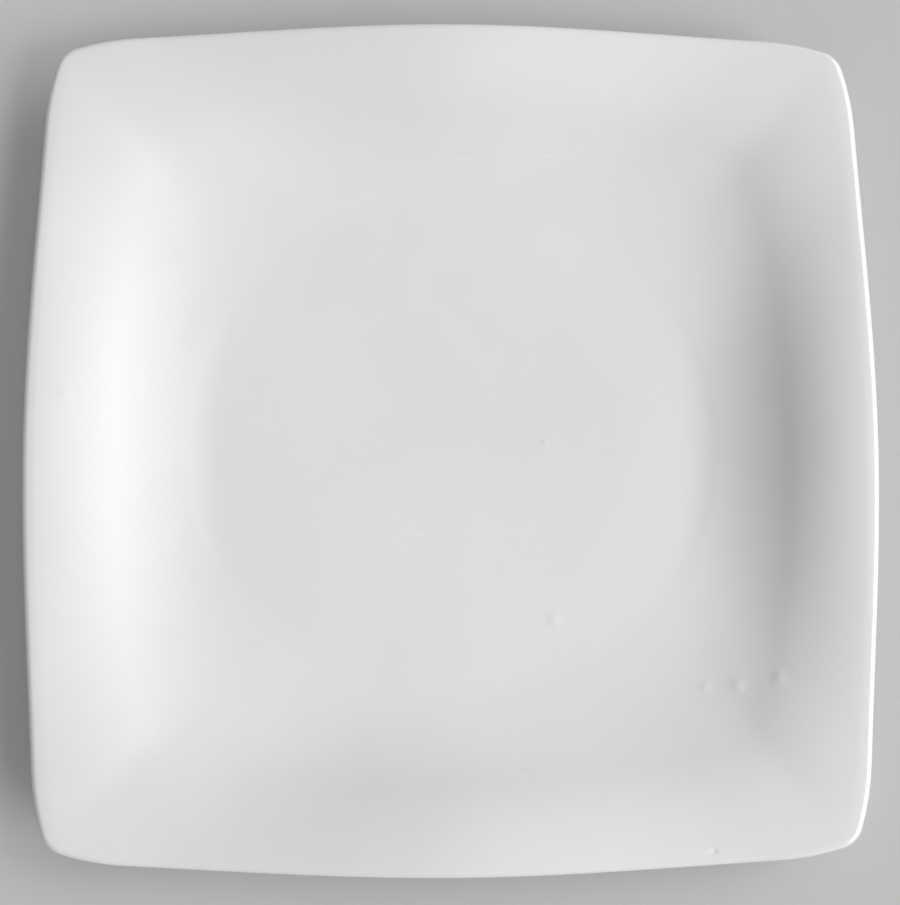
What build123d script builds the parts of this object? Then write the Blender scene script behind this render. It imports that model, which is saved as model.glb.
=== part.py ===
from build123d import *
import os
from math import acos, atan2, cos, degrees, pi, radians, sin, sqrt, tan

# Square dinner plate of glazed porcelain, in millimetres, standing on the table at Z = 0.
# One pressed body carries everything: floor, curved wall, lip and round foot ring.
# The rim swings like a wave: high in the middle of each side and lower at the corners.
# A coat of glaze covers it all, apart from the sole of the foot, which is wiped bare before firing.

# Driving dimensions
plate_width = 267.0  # across the middle of two opposite sides
side_radius = 1776.0  # slow outward bow of each side, seen from above
easing_radius = 80.0  # quicker arc that eases the end of each side into the corner
easing_turn = 14.0  # how far that arc turns, in degrees
corner_radius = 9.3
floor_side_radius = 220.0  # the floor of the well is a rounder square than the rim
floor_corner_radius = 42.0
well_depth = 14.6  # at the middle of a side, from the top of the rim down to the floor
corner_depth = 9.8  # at a corner, from the top of the rim down to the floor
cove_radius = 65.5  # hollow curve that lifts the wall off the floor, at the middle of a side
shoulder_radius = 49.3  # round curve that brings the wall level again at the rim, at the same place
wall_thickness = 4.6  # floor, wall and lip alike
foot_diameter = 172.0  # outside of the sole
foot_width = 4.5  # of the sole
foot_height = 3.4  # from the table to the underside of the floor
foot_draft = 18.0  # lean of the foot's flanks, in degrees
foot_edge_radius = 0.8
foot_root_radius = 2.2  # hollow where a flank runs out into the underside
foot_root_rise = 0.3  # height above the underside of the floor where that hollow ends, inside the wall
foot_root_flare = 62.0  # lean of the flank at the end of that hollow, in degrees
glaze_thickness = 0.3
bare_margin = 0.2  # bare clay left between the sole's round edge and the glaze

# Places that follow from them
lip_radius = wall_thickness / 2
crown_half = plate_width / 2 - lip_radius  # where the wall's shoulder runs level into the lip
floor_height = foot_height + wall_thickness
rim_height = floor_height + well_depth
wall_angle = acos(1 - well_depth / (cove_radius + shoulder_radius))  # where cove and shoulder meet
floor_half = crown_half - (cove_radius + shoulder_radius) * sin(wall_angle)
foot_middle = (foot_diameter - foot_width) / 2
bare_height = foot_edge_radius + bare_margin  # the glaze on the foot ends here

# Directions in the section, as angles from straight up
up = 0
out = pi / 2
down = pi
arc_steps = 4  # contours drawn along each arc of the section


def contour(half_width, base, rise=0.0, outward=0.0):
    """A line round the plate, in plan a square with bowed sides and round corners, or a line outside it.

    It stands this much above its base in the middle of each side, and less at the corners.
    """
    spread = (half_width - floor_half) / (crown_half - floor_half)
    rim_corner = corner_radius - lip_radius
    corner = rim_corner + (1 - spread) ** 2 * (floor_corner_radius - rim_corner)
    floor_bow = 1 / floor_side_radius
    side = 1 / (floor_bow + spread * (1 / (side_radius - lip_radius) - floor_bow))
    to_easing = side - easing_radius
    to_corner = easing_radius - corner
    turn = radians(easing_turn)

    # The centre of a corner lies on the plate's diagonal, which sets how far a side leans at its end.
    reach = Vector(to_easing + to_corner * cos(turn), to_corner * sin(turn))
    lean = acos((side - half_width) / (sqrt(2) * reach.length)) - atan2(reach.Y, reach.X) - pi / 4
    low = base + rise * corner_depth / well_depth
    side_centre = Vector(half_width - side, 0, low)
    easing_centre = side_centre + to_easing * Vector(cos(lean), sin(lean))
    corner_centre = side_centre + reach.rotate(Axis.Z, degrees(lean))
    end = side_centre + (side + outward) * Vector(cos(lean), sin(lean))
    middle = Vector(half_width + outward, 0, base + rise)
    tangents = [(sin(lean), cos(lean), 0), (0, 1, 0), (-sin(lean), cos(lean), 0)]
    corner_start = degrees(lean) + easing_turn
    next_easing_centre = (easing_centre.Y, easing_centre.X, low)
    quarter = [
        Spline(Vector(end.X, -end.Y, low), middle, end, tangents=tangents),
        CenterArc(easing_centre, easing_radius + outward, degrees(lean), easing_turn),
        CenterArc(corner_centre, corner + outward, corner_start, 90 - 2 * corner_start),
        CenterArc(next_easing_centre, easing_radius + outward, 90 - corner_start, easing_turn),
    ]
    return Wire([edge.rotate(Axis.Z, angle) for angle in (0, 90, 180, 270) for edge in quarter])


def arc_angles(start, end):
    """Directions along an arc of the section, from one to another."""
    return [start + (end - start) * step / arc_steps for step in range(arc_steps + 1)]


def cove(base, radius):
    """Faces of the hollow curve, from the floor to where the shoulder takes over."""
    angles = arc_angles(0, wall_angle)
    lines = [contour(floor_half + radius * sin(angle), base, radius * (1 - cos(angle))) for angle in angles]
    return Shell.make_loft(lines).faces()


def shoulder(base, radius):
    """Faces of the round curve, from the cove to the crown of the rim."""
    lines = []
    for angle in arc_angles(wall_angle, 0):
        lines.append(contour(crown_half - radius * sin(angle), base, well_depth - radius * (1 - cos(angle))))
    return Shell.make_loft(lines).faces()


def lip(radius, start, end):
    """Faces of a part of the round lip, which runs along the crown with the same section all round."""
    lines = []
    for angle in arc_angles(start, end):
        base = floor_height - lip_radius + radius * cos(angle)
        lines.append(contour(crown_half, base, well_depth, radius * sin(angle)))
    return Shell.make_loft(lines).faces()


def blank(inset):
    """Everything above the underside and inside the lip, under a lid over the well."""
    base = foot_height + inset
    bottom = Face(contour(floor_half, base))
    outside = cove(base, cove_radius + wall_thickness - inset)
    outside += shoulder(base, shoulder_radius - wall_thickness + inset)
    outside += lip(lip_radius - inset, down, out)
    outside += lip(lip_radius - inset, out, up)
    crown = contour(crown_half, floor_height - inset, well_depth)
    lid_edge = contour(floor_half, rim_height)
    lid = Shell.make_loft([crown, lid_edge], ruled=True).faces()
    return Solid(Shell([bottom, *outside, *lid, Face(lid_edge)]))


def hollow(inset):
    """The space over the floor and the wall, and straight up from the crown of the rim."""
    base = floor_height - inset
    bottom = Face(contour(floor_half, base))
    inside = cove(base, cove_radius + inset)
    inside += shoulder(base, shoulder_radius - inset)
    crown = contour(crown_half, base, well_depth)
    top_edge = contour(crown_half, rim_height + wall_thickness)
    sides = Shell.make_loft([crown, top_edge], ruled=True).faces()
    return Solid(Shell([bottom, *inside, *sides, Face(top_edge)]))


def flank(inset):
    """Outer flank of the foot, from the glaze line: drafted, hollow at its root, and on into the wall."""
    draft = radians(foot_draft)
    flare = radians(foot_root_flare)
    root_start_height = foot_height + foot_root_rise - foot_root_radius * (sin(flare) - sin(draft))
    root_start_radius = foot_diameter / 2 + root_start_height * tan(draft)
    to_centre = foot_root_radius * Vector(cos(draft), 0, -sin(draft))
    root_centre = Vector(root_start_radius, 0, root_start_height) + to_centre

    def on_root(lean):
        return root_centre - (foot_root_radius + inset) * Vector(cos(lean), 0, -sin(lean))

    root_start = on_root(draft)
    root_end = on_root(flare)
    start = root_start + (root_start.Z - bare_height) * Vector(-tan(draft), 0, -1)
    run_end = root_end + wall_thickness / 2 * Vector(tan(flare), 0, 1)
    top = Vector(run_end.X, 0, rim_height - wall_thickness)
    root = ThreePointArc(root_start, on_root((draft + flare) / 2), root_end)
    return [Line(start, root_start), root, Line(root_end, run_end), Line(run_end, top)]


def foot(inset):
    """The foot ring above its bare sole, reaching up into the blank."""
    outer = flank(inset)
    inner = [edge.mirror(Plane.YZ.offset(foot_middle)) for edge in outer]
    bottom = Line(inner[0] @ 0, outer[0] @ 0)
    top = Line(inner[-1] @ 1, outer[-1] @ 1)
    section = make_face([*outer, *inner, bottom, top])
    return revolve(section, Axis.Z)


def sole():
    """The bare underside of the foot ring, with both its edges rounded."""
    half_width = foot_width / 2
    top_half = half_width + bare_height * tan(radians(foot_draft))
    corners = [(-half_width, 0), (half_width, 0), (top_half, bare_height), (-top_half, bare_height)]
    outline = Polyline([(foot_middle + across, 0, height) for across, height in corners], close=True)
    section = make_face(outline)
    section = fillet(section.vertices().group_by(Axis.Z)[0], foot_edge_radius)
    return revolve(section, Axis.Z)


def plate(inset):
    """The plate without its sole, at the finished surface or a coat of glaze inside it."""
    return blank(inset) + foot(inset) - hollow(inset)


# The fired body lies one coat of glaze inside the finished surface, apart from the bare sole.
porcelain_body = plate(glaze_thickness) + sole()

# The sole parts the coat in two: the patch inside the foot ring, and all the rest.
recess_glaze, glaze_coat = (plate(0) - porcelain_body).solids().sort_by(SortBy.VOLUME)

os.makedirs("parts", exist_ok=True)
export_step(porcelain_body, "parts/porcelain_body.step")
export_step(glaze_coat, "parts/glaze_coat.step")
export_step(recess_glaze, "parts/recess_glaze.step")
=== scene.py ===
from cmath import phase, rect
from math import acos, atan2, cos, exp, pi, radians, sin, sqrt, tan

import bmesh
import bpy
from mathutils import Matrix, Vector


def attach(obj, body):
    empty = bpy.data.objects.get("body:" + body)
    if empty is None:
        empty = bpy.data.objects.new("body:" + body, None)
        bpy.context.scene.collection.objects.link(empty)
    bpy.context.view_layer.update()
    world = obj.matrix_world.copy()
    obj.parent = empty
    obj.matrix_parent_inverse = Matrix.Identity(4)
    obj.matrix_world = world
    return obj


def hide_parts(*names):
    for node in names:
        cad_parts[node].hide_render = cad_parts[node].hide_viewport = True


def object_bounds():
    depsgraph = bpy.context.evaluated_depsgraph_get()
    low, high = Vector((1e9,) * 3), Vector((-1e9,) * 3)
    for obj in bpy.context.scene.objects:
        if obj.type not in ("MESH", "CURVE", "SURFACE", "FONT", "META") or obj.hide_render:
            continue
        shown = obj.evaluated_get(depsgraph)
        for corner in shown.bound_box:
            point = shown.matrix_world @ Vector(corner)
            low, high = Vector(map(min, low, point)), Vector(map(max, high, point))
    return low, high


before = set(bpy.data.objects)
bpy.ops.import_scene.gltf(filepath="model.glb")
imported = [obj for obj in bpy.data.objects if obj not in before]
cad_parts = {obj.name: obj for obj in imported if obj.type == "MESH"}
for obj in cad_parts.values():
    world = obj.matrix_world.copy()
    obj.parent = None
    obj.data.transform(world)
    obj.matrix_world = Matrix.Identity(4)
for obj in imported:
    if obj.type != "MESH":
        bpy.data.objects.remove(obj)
cad_low, cad_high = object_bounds()

# Square dinner plate of white glazed porcelain, in metres, standing on the table at Z = 0.
# Its rim swings like a wave: high in the middle of each side and lower at the corners.
# The near side is towards -Y, and the right side towards +X.

# Sizes of the plate
plate_half = min(cad_high.x, cad_high.y, -cad_low.x, -cad_low.y)
rim_height = cad_high.z
side_bow = 1.776  # radius of the slow outward bow of each side
easing_radius = 0.080  # quicker arc that eases the end of each side into the corner
easing_turn = radians(14)
corner_radius = 0.0093
floor_bow = 0.220  # the floor of the well is a rounder square than the rim
floor_corner = 0.042
well_depth = 0.0146  # at the middle of a side
corner_depth = 0.0098  # at a corner, where the rim is lower
cove_radius = 0.0655  # hollow curve that lifts the wall off the floor
shoulder_radius = 0.0493  # round curve that brings the wall level again at the rim
wall_thickness = 0.0046
glaze_thickness = 0.0003
foot_radius = 0.086  # outside of the sole
foot_width = 0.0045  # of the sole
foot_draft = radians(18)
foot_root_radius = 0.0022  # hollow where a flank runs out into the underside
foot_root_rise = 0.0003
foot_root_flare = radians(62)
foot_crease = 0.0006  # reach of the soft crease between a flank and the underside
bare_height = 0.001  # the glaze on the foot ends here
glaze_roll = 0.00012  # the edge of the glaze rolls in by this much
lip_wear = 0.00024  # the glaze thins by this much over the lip, where it ran off in the kiln
wear_start = 0.0024  # it starts to thin this far inside the crown of the rim
wear_end = 0.0015  # and is at its thinnest this far outside it

# Places that follow from them
lip_radius = wall_thickness / 2
crown_half = plate_half - lip_radius
floor_height = rim_height - well_depth
foot_height = floor_height - wall_thickness
wall_angle = acos(1 - well_depth / (cove_radius + shoulder_radius))
floor_half = crown_half - (cove_radius + shoulder_radius) * sin(wall_angle)
foot_middle = foot_radius - foot_width / 2
root_drop = foot_root_radius * (sin(foot_root_flare) - sin(foot_draft))
root_start = foot_height + foot_root_rise - root_drop

# Relief of the eating face, pressed and fired into it
dome_rise = 0.00034  # the floor stands this much higher within the foot ring
dome_edge = 0.052
moat_radius = 0.0828  # the lowest line, over the foot ring
ghost_radius = 0.0872  # the foot ring shows through as a low step here
ghost_rise = 0.00011
ghost_fade = 0.115
blisters = [  # place, width and rise of the small blisters in the glaze, and of one pit
    (0.0322, -0.0569, 0.0044, 0.00019),
    (0.0804, -0.0780, 0.0042, 0.00011),
    (0.0902, -0.0775, 0.0050, 0.00019),
    (0.1025, -0.0746, 0.0044, 0.00018),
    (0.0300, 0.0000, 0.0024, 0.00012),
    (-0.1205, 0.0151, 0.0036, 0.00013),
    (0.0799, -0.1268, 0.0019, -0.00029),
]

# Mesh of the sheets of glaze
side_columns = 40  # along each bowed side
easing_columns = 4  # along each easing arc
turn_columns = 8  # round half a corner
quarter_columns = (turn_columns, easing_columns, side_columns, easing_columns, turn_columns)
grid_half = 0.030  # half of the square grid in the middle of a sheet
grid_step = 0.003
relief_start = 0.060  # rings lie closer from here, over the relief
relief_end = 0.091
relief_step = 0.0012
wall_step = 0.0016
lip_step = 0.0006  # rings lie closer again near the lip
lip_steps = 16  # rings round it
under_step = 0.0022
root_step = 0.0004
flank_steps = 4
roll_steps = 4  # rings round the rolled edge of the glaze
blister_cuts = 7  # cuts across each face that a blister lies on
blister_round = 0.4  # how far a blister swells from its centre, as a share of its width
blister_fit = 0.6  # the cut face follows the curve of the wall closely within this share of the width
facing_up = 0.5  # least upward part of a normal on the eating face
foot_clear = 0.095  # the level lines of the underside have turned into circles here
circle_start = 0.118  # and start to turn here
recess_clear = 0.075  # those within the foot have turned into circles here
line_halvings = 30  # steps in the search for the line through a place
corner_slack = 0.0001  # bearings are counted from this little before a corner, in radians
smooth_angle = radians(50)  # edges blunter than this are shaded smooth


def quarter_arcs(half_width):
    """Centre, radius, start and end of each arc of a line, from corner to corner.

    They are a turn, an easing, a side, an easing and a turn.
    """
    spread = (half_width - floor_half) / (crown_half - floor_half)
    rim_corner = corner_radius - lip_radius
    corner = rim_corner + (1 - spread) ** 2 * (floor_corner - rim_corner)
    bow = 1 / (1 / floor_bow + spread * (1 / (side_bow - lip_radius) - 1 / floor_bow))
    bow_centre = complex(half_width - bow)
    to_easing = bow - easing_radius
    reach = to_easing + rect(easing_radius - corner, easing_turn)
    lean = acos((bow - half_width) / (sqrt(2) * abs(reach))) - phase(reach) - pi / 4
    easing_centre = bow_centre + rect(to_easing, lean)
    corner_centre = bow_centre + reach * rect(1, lean)
    eased = lean + easing_turn
    return (
        (corner_centre.conjugate(), corner, -pi / 4, -eased),
        (easing_centre.conjugate(), easing_radius, -eased, -lean),
        (bow_centre, bow, -lean, lean),
        (easing_centre, easing_radius, lean, eased),
        (corner_centre, corner, eased, pi / 4),
    )


def all_round(quarter):
    """The four quarters of a line, each turned on from the one before."""
    return [point * 1j**turn for turn in range(4) for point in quarter]


def level_line(half_width, outward=0.0):
    """Plan of a line round the plate, or of a line outside it: a square with bowed sides and round corners."""
    quarter = []
    for arc, columns in zip(quarter_arcs(half_width), quarter_columns):
        centre, radius, start, end = arc
        angles = [start + (end - start) * column / columns for column in range(columns)]
        quarter += [centre + rect(radius + outward, angle) for angle in angles]
    return all_round(quarter)


def square_line(half_width):
    """Plan of the outline of the square grid, drawn out to this half width."""
    columns = sum(quarter_columns)
    shares = [2 * column / columns - 1 for column in range(columns)]
    return all_round([complex(half_width, half_width * share) for share in shares])


def round_line(radius):
    """Plan of a circle, with its points on the same columns as the floor's outline."""
    return [rect(radius, phase(point)) for point in level_line(floor_half)]


def ease(value, start, end):
    """Smooth change from 0 at the start to 1 at the end."""
    share = min(max((value - start) / (end - start), 0), 1)
    return share * share * (3 - 2 * share)


def between(first, second, share):
    """Plan of a line that lies part of the way from one line to another."""
    return [start + share * (end - start) for start, end in zip(first, second)]


def spaced(start, end, step):
    """Even steps from just after the start to the end, about this long."""
    count = max(1, round(abs(end - start) / step))
    return [start + (end - start) * number / count for number in range(1, count + 1)]


def wave(along):
    """Share of the wall's full rise, from the middle of a side (0) to the end of its bow (1)."""
    return 1 - (1 - corner_depth / well_depth) * ease(abs(along), 0, 1)


def column_waves():
    """Share of the wall's full rise on each column of the mesh."""
    side = [wave(2 * column / side_columns - 1) for column in range(side_columns)]
    corner = (easing_columns + turn_columns) * [wave(1)]
    return 4 * (corner + side + corner)


def find_line(point):
    """Half width of the line through a place in plan, or the floor's own within it, and the wave there."""
    across, along = sorted((abs(point.real), abs(point.imag)), reverse=True)
    spot = complex(across, along)
    inner, outer = floor_half, crown_half
    for halving in range(line_halvings):
        half_width = (inner + outer) / 2
        side, easing, turn = quarter_arcs(half_width)[2:]
        bearing = phase(spot - side[0])
        if bearing < side[3]:
            arc = side
        elif phase(spot - easing[0]) < easing[3]:
            arc = easing
        else:
            arc = turn
        if abs(spot - arc[0]) > arc[1]:
            inner = half_width
        else:
            outer = half_width
    return half_width, wave(min(bearing / side[3], 1))


def wall_rise(half_width, cove, shoulder):
    """Rise over the floor, in the middle of a side, of the cove and then of the shoulder at the rim."""
    out = half_width - floor_half
    if out <= 0:
        return 0
    if out < cove * sin(wall_angle):
        return cove - sqrt(cove**2 - out**2)
    return well_depth - shoulder + sqrt(shoulder**2 - (crown_half - half_width) ** 2)


def relief(distance):
    """Rise of the eating face over its plain form, at this distance from the middle."""
    dome = dome_rise * (1 - ease(distance, dome_edge, moat_radius))
    step = ease(distance, moat_radius, ghost_radius) - ease(distance, ghost_radius, ghost_fade)
    return dome + ghost_rise * step


def thinning(outward):
    """Loss of glaze near the lip, this far outside the crown of the rim."""
    return lip_wear * ease(outward, -wear_start, wear_end)


def face_height(point, half_width, share):
    """Height of the eating face."""
    plain = floor_height + share * wall_rise(half_width, cove_radius, shoulder_radius)
    return plain + relief(abs(point)) - thinning(half_width - crown_half)


def flank_height(outward):
    """Height of a flank of the foot, this far from the sole's edge, with the hollow at its root."""
    hollow_start = root_start * tan(foot_draft)
    centre_out = hollow_start + foot_root_radius * cos(foot_draft)
    centre_up = root_start - foot_root_radius * sin(foot_draft)
    hollow_end = centre_out - foot_root_radius * cos(foot_root_flare)
    if outward < hollow_end:
        return centre_up + sqrt(foot_root_radius**2 - (centre_out - outward) ** 2)
    return foot_height + foot_root_rise + (outward - hollow_end) / tan(foot_root_flare)


def under_height(point):
    """Height of the underside, with the flank of the foot running softly out into it."""
    half_width, share = find_line(point)
    rise = wall_rise(half_width, cove_radius + wall_thickness, shoulder_radius - wall_thickness)
    plain = foot_height + share * rise
    flank = flank_height(abs(abs(point) - foot_middle) - foot_width / 2)
    near = max(foot_crease - abs(plain - flank), 0) / foot_crease
    return min(plain, flank) - near * near * foot_crease / 4


def place(plan, heights):
    """Points of a ring from its plan and the height of each of its points."""
    return [Vector((point.real, point.imag, height)) for point, height in zip(plan, heights)]


def from_corner(spot):
    """Bearing of a spot in plan, counted from just short of the near right corner."""
    return (atan2(spot.y, spot.x) + pi / 4 + corner_slack) % (2 * pi)


def lay(sheet, ring):
    """Moves the selected ring of the sheet, in order of bearing, onto these points."""
    mesh = bmesh.from_edit_mesh(sheet.data)
    chosen = [vertex for vertex in mesh.verts if vertex.select]
    chosen.sort(key=lambda vertex: from_corner(vertex.co))
    for vertex, point in zip(chosen, ring, strict=True):
        vertex.co = point
    bmesh.update_edit_mesh(sheet.data)


def draw_sheet(name, height, rings):
    """A sheet of glaze, drawn outwards ring by ring from a square grid in its middle."""
    bpy.ops.object.select_all(action="DESELECT")
    columns = sum(quarter_columns)
    bpy.ops.mesh.primitive_grid_add(
        x_subdivisions=columns, y_subdivisions=columns, size=2 * grid_half, location=(0, 0, height)
    )
    sheet = bpy.context.object
    sheet.name = name
    bpy.ops.object.transform_apply()
    bpy.ops.object.mode_set(mode="EDIT")
    bpy.ops.mesh.select_all(action="SELECT")
    bpy.ops.mesh.region_to_loop()
    for ring in rings:
        bpy.ops.mesh.extrude_region_move()
        lay(sheet, ring)
    return sheet


def face_ring(plan, half_width):
    """One ring of the eating face."""
    heights = [face_height(point, half_width, share) for point, share in zip(plan, column_waves())]
    return place(plan, heights)


def face_rings():
    """Rings of the eating face, from the grid in the middle of the floor to the crown of the rim."""
    rings = []
    floor_line = level_line(floor_half)
    middle = spaced(grid_half, relief_start, grid_step)
    for half_width in middle + spaced(relief_start, floor_half, relief_step):
        outline = [point * half_width / floor_half for point in floor_line]
        plan = between(square_line(half_width), outline, ease(half_width, grid_half, relief_start))
        rings.append(face_ring(plan, half_width))
    wear_line = crown_half - wear_start
    wall = spaced(floor_half, relief_end, relief_step) + spaced(relief_end, wear_line, wall_step)
    for half_width in wall + spaced(wear_line, crown_half, lip_step):
        rings.append(face_ring(level_line(half_width), half_width))
    return rings


def lip_rings():
    """Rings round the lip, from the crown of the rim to the underside."""
    rings = []
    for angle in spaced(0, pi, pi / lip_steps):
        outward = lip_radius * sin(angle)
        thin = thinning(outward) * (1 - ease(angle, pi / 2, 3 * pi / 4))
        base = floor_height - lip_radius + lip_radius * cos(angle) - thin
        plan = level_line(crown_half, outward)
        rings.append(place(plan, [base + share * well_depth for share in column_waves()]))
    return rings


def flank_rings(side):
    """Rings down a flank of the foot to the bare sole, on its outer side (1) or its inner side (-1)."""
    rings = []
    step = (root_start - bare_height) / flank_steps
    for height in spaced(root_start, bare_height + glaze_roll, step):
        plan = round_line(foot_middle + side * (foot_width / 2 + height * tan(foot_draft)))
        rings.append(place(plan, [height] * len(plan)))
    for turn in spaced(0, pi / 2, pi / 2 / roll_steps):
        height = bare_height + glaze_roll * (1 - sin(turn))
        outward = foot_width / 2 + height * tan(foot_draft) - glaze_roll * (1 - cos(turn))
        plan = round_line(foot_middle + side * outward)
        rings.append(place(plan, [height] * len(plan)))
    return rings


def under_rings():
    """Rings of the underside, from the lip to the flank of the foot."""
    plans = []
    for half_width in spaced(crown_half, foot_clear, under_step):
        turned = ease(half_width, circle_start, foot_clear)
        plans.append(between(level_line(half_width), round_line(half_width), turned))
    root_radius = foot_radius + root_start * tan(foot_draft)
    plans += [round_line(radius) for radius in spaced(foot_clear, root_radius, root_step)]
    return [place(plan, [under_height(point) for point in plan]) for plan in plans]


def recess_rings():
    """Rings of the underside within the foot, from the grid in its middle to the flank of the foot."""
    plans = []
    root_radius = foot_radius - foot_width - root_start * tan(foot_draft)
    for radius in spaced(grid_half, recess_clear, grid_step):
        turned = ease(radius, grid_half, recess_clear)
        plans.append(between(square_line(radius), round_line(radius), turned))
    plans += [round_line(radius) for radius in spaced(recess_clear, root_radius, root_step)]
    return [place(plan, [under_height(point) for point in plan]) for plan in plans]


def raise_blisters(sheet):
    """Cuts the face finer round the blisters and the pit, and lifts or sinks it there."""
    centres = [(complex(x, y), width, rise) for x, y, width, rise in blisters]
    bpy.ops.mesh.select_all(action="DESELECT")
    mesh = bmesh.from_edit_mesh(sheet.data)
    for face in mesh.faces:
        middle = face.calc_center_median()
        spot = complex(middle.x, middle.y)
        reach = sqrt(face.calc_area()) / 2
        near = any(abs(spot - centre) < width + reach for centre, width, rise in centres)
        if near and face.normal.z > facing_up:
            face.select_set(True)
    bmesh.update_edit_mesh(sheet.data)
    bpy.ops.mesh.subdivide(number_cuts=blister_cuts)
    mesh = bmesh.from_edit_mesh(sheet.data)
    for vertex in mesh.verts:
        if vertex.select:
            point = complex(vertex.co.x, vertex.co.y)
            fitted, lift = 0, 0
            for centre, width, rise in centres:
                distance = abs(point - centre)
                fitted = max(fitted, 1 - ease(distance, blister_fit * width, width))
                lift += rise * exp(-((distance / (blister_round * width)) ** 2))
            off = face_height(point, *find_line(point)) - vertex.co.z
            vertex.co.z += fitted * off + lift
    bmesh.update_edit_mesh(sheet.data)


def thicken(sheet, faces_up):
    """Turns the sheet's faces outwards and gives the glaze its thickness."""
    bpy.ops.mesh.select_all(action="SELECT")
    bpy.ops.mesh.normals_make_consistent(inside=False)
    mesh = bmesh.from_edit_mesh(sheet.data)
    middle = min(mesh.faces, key=lambda face: face.calc_center_median().xy.length)
    if (middle.normal.z > 0) != faces_up:
        bpy.ops.mesh.flip_normals()
    bpy.ops.object.mode_set(mode="OBJECT")
    wall = sheet.modifiers.new("glaze", "SOLIDIFY")
    wall.thickness = glaze_thickness
    wall.offset = -1
    bpy.ops.object.modifier_apply(modifier=wall.name)
    bpy.ops.object.shade_smooth_by_angle(angle=smooth_angle)


def make_coat():
    """The coat of glaze over the face, the lip and the underside, down to the outside of the foot."""
    rings = face_rings() + lip_rings() + under_rings() + flank_rings(1)
    coat = draw_sheet("white_glaze_coat", floor_height + dome_rise, rings)
    raise_blisters(coat)
    thicken(coat, True)
    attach(coat, "root")
    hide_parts("glaze_coat")
    return coat


def make_recess():
    """The coat of glaze on the underside within the foot ring."""
    recess = draw_sheet("white_recess_glaze", foot_height, recess_rings() + flank_rings(-1))
    thicken(recess, False)
    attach(recess, "root")
    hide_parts("recess_glaze")
    return recess


# Marks of use on the eating face, each with its place, bearing, length and width: long scratches, made rougher
# and also painted paler as painted glints, and a dark speck
scratch_and_glint_marks = [
    (-0.0225, -0.0205, radians(35), 0.008, 0.0011),
    (-0.0190, -0.0240, radians(52), 0.006, 0.0010),
    (-0.0150, -0.0275, radians(20), 0.009, 0.0011),
    (-0.0110, -0.0295, radians(-12), 0.005, 0.0012),
    (-0.0245, -0.0285, radians(30), 0.005, 0.0010),
    (0.0310, 0.0938, radians(2), 0.022, 0.0010),
    (0.0040, 0.0930, radians(-4), 0.016, 0.0010),
    (0.0080, 0.1240, radians(-20), 0.012, 0.0012),
    (0.0170, 0.1218, radians(-26), 0.014, 0.0012),
    (0.0640, 0.1012, radians(32), 0.006, 0.0012),
    (0.0668, 0.1000, radians(-20), 0.004, 0.0010),
]
dark_specks = [
    (0.0223, -0.1025, 0, 0.0018, 0.0018),
]
mark_depth = 0.05  # a mark reaches this far up and down
rub_bearings = (radians(22), radians(78), radians(141))

# Colours of the finishes, and how strongly the marks show on them
glaze_shade = (0.765, 0.780, 0.760, 1)  # the glaze is faintly cloudy, between these two whites
glaze_light = (0.800, 0.815, 0.795, 1)
rub_grey = (0.70, 0.71, 0.70, 1)
rub_strength = 0.30
# painted glint: the scratches are painted this paler white, as if they caught the light
painted_glint_white = (0.86, 0.87, 0.86, 1)
painted_glint_strength = 0.45
speck_grey = (0.55, 0.54, 0.52, 1)
speck_strength = 0.40
glaze_roughness = 0.11
scuff_roughness = 0.30
clay_shade = (0.76, 0.74, 0.69, 1)
clay_light = (0.83, 0.81, 0.76, 1)
clay_grey = (0.50, 0.49, 0.47, 1)
clay_rub_strength = 0.55
clay_roughness = 0.72
clay_polish = 0.50  # roughness where the sole is rubbed
floor_grey = (0.55, 0.55, 0.55, 1)
floor_roughness = 0.8
floor_size = 12


def add_node(tree, kind, sockets, **settings):
    """A node with its settings, and with a value or a link on each of these sockets."""
    node = tree.nodes.new(kind)
    for name, value in settings.items():
        setattr(node, name, value)
    for name, value in sockets.items():
        if isinstance(value, bpy.types.NodeSocket):
            tree.links.new(value, node.inputs[name])
        else:
            node.inputs[name].default_value = value
    return node


def calculate(tree, operation, first, second):
    """Result of one sum on two values."""
    return add_node(tree, "ShaderNodeMath", {0: first, 1: second}, operation=operation).outputs["Value"]


def remap(tree, value, start, end, low=0.0, high=1.0):
    """A value that runs between two bounds while another runs from its start to its end."""
    sockets = {"Value": value, "From Min": start, "From Max": end, "To Min": low, "To Max": high}
    return add_node(tree, "ShaderNodeMapRange", sockets).outputs["Result"]


def noise(tree, place, scale, detail):
    """Soft random pattern."""
    sockets = {"Vector": place, "Scale": scale, "Detail": detail}
    return add_node(tree, "ShaderNodeTexNoise", sockets).outputs["Fac"]


def blend(tree, share, first, second):
    """Colour between two colours."""
    mix = add_node(tree, "ShaderNodeMix", {0: share, 6: first, 7: second}, data_type="RGBA")
    return mix.outputs[2]


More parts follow.
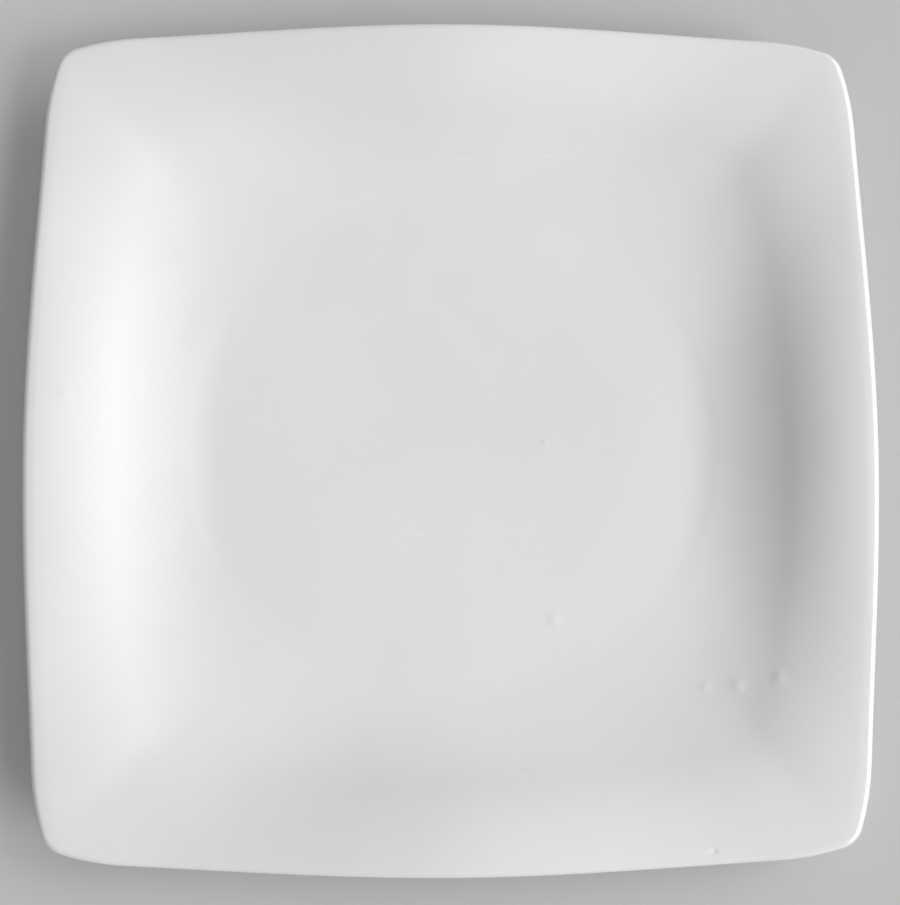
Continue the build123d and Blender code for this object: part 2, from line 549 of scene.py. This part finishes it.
def make_rub_marks():
    """Node group of fine straight rub marks in patches, 1 on a mark and 0 beside it."""
    group = bpy.data.node_groups.new("rub_marks", "ShaderNodeTree")
    group.interface.new_socket("Place", in_out="INPUT", socket_type="NodeSocketVector")
    group.interface.new_socket("Length", in_out="INPUT", socket_type="NodeSocketFloat")
    group.interface.new_socket("Width", in_out="INPUT", socket_type="NodeSocketFloat")
    group.interface.new_socket("Patch", in_out="INPUT", socket_type="NodeSocketFloat")
    group.interface.new_socket("Marks", in_out="OUTPUT", socket_type="NodeSocketFloat")
    given = group.nodes.new("NodeGroupInput").outputs
    size = {"X": given["Length"], "Y": given["Width"], "Z": given["Length"]}
    mark_size = add_node(group, "ShaderNodeCombineXYZ", size).outputs["Vector"]
    marks = 0.0
    for bearing in rub_bearings:
        turn = {"Vector": given["Place"], "Angle": bearing}
        turned = add_node(group, "ShaderNodeVectorRotate", turn, rotation_type="Z_AXIS").outputs["Vector"]
        drawn = add_node(group, "ShaderNodeVectorMath", {0: turned, 1: mark_size}, operation="DIVIDE")
        streaks = noise(group, drawn.outputs["Vector"], scale=1, detail=1)
        marks = calculate(group, "MAXIMUM", marks, remap(group, streaks, start=0.64, end=0.74))
    patches = noise(group, given["Place"], scale=given["Patch"], detail=2)
    worn = calculate(group, "MULTIPLY", marks, remap(group, patches, start=0.45, end=0.62))
    add_node(group, "NodeGroupOutput", {"Marks": worn})
    return group


def rub(tree, group, place, length, width, patch):
    """Rub marks of this length and width on a material, with this many patches to the metre."""
    sockets = {"Place": place, "Length": length, "Width": width, "Patch": patch}
    return add_node(tree, "ShaderNodeGroup", sockets, node_tree=group).outputs["Marks"]


def spots(tree, place, marks):
    """Soft long spots at these places, 1 in the middle of a spot and 0 beside it."""
    found = 0.0
    for x, y, bearing, length, width in marks:
        sockets = {
            "Vector": place,
            "Location": (x, y, floor_height),
            "Rotation": (0, 0, bearing),
            "Scale": (length / 2, width / 2, mark_depth),
        }
        near = add_node(tree, "ShaderNodeMapping", sockets, vector_type="TEXTURE").outputs["Vector"]
        spot = add_node(tree, "ShaderNodeTexGradient", {"Vector": near}, gradient_type="SPHERICAL")
        found = calculate(tree, "MAXIMUM", found, spot.outputs["Fac"])
    return found


def new_finish(name):
    """A material with its nodes, and its main shader."""
    finish = bpy.data.materials.new(name)
    finish.use_nodes = True
    return finish, finish.node_tree.nodes["Principled BSDF"]


def dull(tree, marks, strength, colour, mark_colour):
    """Colour of a surface with these marks on it, as strong as this."""
    return blend(tree, calculate(tree, "MULTIPLY", marks, strength), colour, mark_colour)


def bumps(tree, height, strength, distance):
    """Normal of a surface with small bumps."""
    sockets = {"Height": height, "Strength": strength, "Distance": distance}
    return add_node(tree, "ShaderNodeBump", sockets).outputs["Normal"]


def glaze_finish(rub_marks):
    """Glossy white glaze, faintly cloudy and rippled, with marks of cutlery on the floor of the plate, whose
    scratches are also painted paler as painted glints.
    """
    finish, shader = new_finish("glossy_white_glaze")
    tree = finish.node_tree
    coordinates = tree.nodes.new("ShaderNodeTexCoord").outputs
    place = coordinates["Object"]
    level = add_node(tree, "ShaderNodeSeparateXYZ", {"Vector": coordinates["Normal"]}).outputs["Z"]
    on_face = remap(tree, level, start=0.80, end=0.95)
    clouds = remap(tree, noise(tree, place, scale=11, detail=2), start=0.32, end=0.68)
    white = blend(tree, clouds, glaze_shade, glaze_light)
    rubs = rub(tree, rub_marks, place, length=0.011, width=0.0003, patch=24)
    rubbed = calculate(tree, "MULTIPLY", rubs, on_face)
    # scratches, made rougher below and painted paler as painted glints
    scratches_and_glints = calculate(tree, "MULTIPLY", spots(tree, place, scratch_and_glint_marks), on_face)
    specks = calculate(tree, "MULTIPLY", spots(tree, place, dark_specks), on_face)
    greyed = dull(tree, rubbed, rub_strength, white, rub_grey)
    # painted glints: the scratches are painted paler
    glint_painted = dull(tree, scratches_and_glints, painted_glint_strength, greyed, painted_glint_white)
    speckled = dull(tree, specks, speck_strength, glint_painted, speck_grey)
    tree.links.new(speckled, shader.inputs["Base Color"])
    scuffed = calculate(tree, "MAXIMUM", rubbed, scratches_and_glints)
    roughness = remap(tree, scuffed, 0, 1, low=glaze_roughness, high=scuff_roughness)
    tree.links.new(roughness, shader.inputs["Roughness"])
    ripple = noise(tree, place, scale=55, detail=1)
    tree.links.new(bumps(tree, ripple, strength=0.15, distance=0.001), shader.inputs["Normal"])
    return finish


def bare_finish(rub_marks):
    """Matt unglazed porcelain on the sole of the foot, grained and rubbed grey by tables and other plates."""
    finish, shader = new_finish("bare_porcelain")
    tree = finish.node_tree
    place = tree.nodes.new("ShaderNodeTexCoord").outputs["Object"]
    clay = blend(tree, noise(tree, place, scale=90, detail=3), clay_shade, clay_light)
    rubbed = rub(tree, rub_marks, place, length=0.006, width=0.0004, patch=60)
    greyed = dull(tree, rubbed, clay_rub_strength, clay, clay_grey)
    tree.links.new(greyed, shader.inputs["Base Color"])
    roughness = remap(tree, rubbed, 0, 1, low=clay_roughness, high=clay_polish)
    tree.links.new(roughness, shader.inputs["Roughness"])
    grain = noise(tree, place, scale=2600, detail=2)
    tree.links.new(bumps(tree, grain, strength=0.25, distance=0.0002), shader.inputs["Normal"])
    return finish


def floor_finish():
    """Plain pale matt floor."""
    finish, shader = new_finish("pale_floor")
    shader.inputs["Base Color"].default_value = floor_grey
    shader.inputs["Roughness"].default_value = floor_roughness
    return finish


def set_finish(piece, finish):
    """Gives a piece one material."""
    piece.data.materials.clear()
    piece.data.materials.append(finish)


def make_floor():
    """Wide plain floor that the plate stands on."""
    bpy.ops.object.select_all(action="DESELECT")
    bpy.ops.mesh.primitive_plane_add(size=floor_size)
    floor = bpy.context.object
    floor.name = "pale_floor"
    set_finish(floor, floor_finish())


# Light and camera
lamp_place = (1, 0, 1)
lamp_elevation = radians(29)
lamp_spread = radians(32)  # width of each lamp as the plate sees it
lamps = [  # bearing and strength of each of the soft lamps on the right
    (radians(-30), 1.626),
    (radians(0), 0.797),
    (radians(30), 1.027),
]
high_sky = 0.95  # strength of the sky in its bright band, which passes overhead
sky_bearing = radians(-18)  # the sky is dim towards this side and the opposite one
sky_gather = 7  # the larger, the narrower the bright band between the two dim sides
backdrop_level = 0.62  # pale backdrop, seen and mirrored but giving no light
camera_place = (-0.00688, -0.02446, 0.34716)
camera_turn = (radians(3.617), radians(-1.004), radians(-0.17))
camera_lens = 41.77
camera_sensor = 36.0
camera_clip = 0.01


def make_light():
    """A row of soft lamps on the right, and a soft sky that is dimmer on the left and on the right."""
    for bearing, strength in lamps:
        bpy.ops.object.select_all(action="DESELECT")
        lean = (0, pi / 2 - lamp_elevation, bearing)
        bpy.ops.object.light_add(type="SUN", location=lamp_place, rotation=lean)
        lamp = bpy.context.object
        lamp.name = "soft_lamp"
        lamp.data.angle = lamp_spread
        lamp.data.energy = strength
    world = bpy.data.worlds.new("studio")
    bpy.context.scene.world = world
    world.use_nodes = True
    tree = world.node_tree
    bearing = tree.nodes.new("ShaderNodeTexCoord").outputs["Generated"]
    dim_side = (cos(sky_bearing), sin(sky_bearing), 0)
    along = add_node(tree, "ShaderNodeVectorMath", {0: bearing, 1: dim_side}, operation="DOT_PRODUCT")
    sideways = calculate(tree, "ABSOLUTE", along.outputs["Value"], 0)
    squared = calculate(tree, "POWER", sideways, 2)
    gathered = calculate(tree, "POWER", calculate(tree, "SUBTRACT", 1, squared), sky_gather)
    light = calculate(tree, "MULTIPLY", gathered, high_sky)
    rays = tree.nodes.new("ShaderNodeLightPath").outputs
    mirrored = calculate(tree, "MAXIMUM", rays["Is Glossy Ray"], rays["Is Transmission Ray"])
    seen = calculate(tree, "MAXIMUM", rays["Is Camera Ray"], mirrored)
    unseen = calculate(tree, "MULTIPLY", light, calculate(tree, "SUBTRACT", 1, seen))
    strength = calculate(tree, "ADD", unseen, calculate(tree, "MULTIPLY", seen, backdrop_level))
    sky = tree.nodes["Background"].inputs
    sky["Color"].default_value = (1, 1, 1, 1)
    tree.links.new(strength, sky["Strength"])


def make_camera():
    """Camera almost straight above the plate."""
    bpy.ops.object.select_all(action="DESELECT")
    bpy.ops.object.camera_add(location=camera_place, rotation=camera_turn)
    camera = bpy.context.object
    camera.data.lens = camera_lens
    camera.data.sensor_width = camera_sensor
    camera.data.clip_start = camera_clip
    bpy.context.scene.camera = camera


coat = make_coat()
recess = make_recess()
rub_marks = make_rub_marks()
glaze = glaze_finish(rub_marks)
set_finish(coat, glaze)
set_finish(recess, glaze)
set_finish(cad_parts["porcelain_body"], bare_finish(rub_marks))
make_floor()
make_light()
make_camera()
bpy.context.scene.view_settings.view_transform = "Standard"
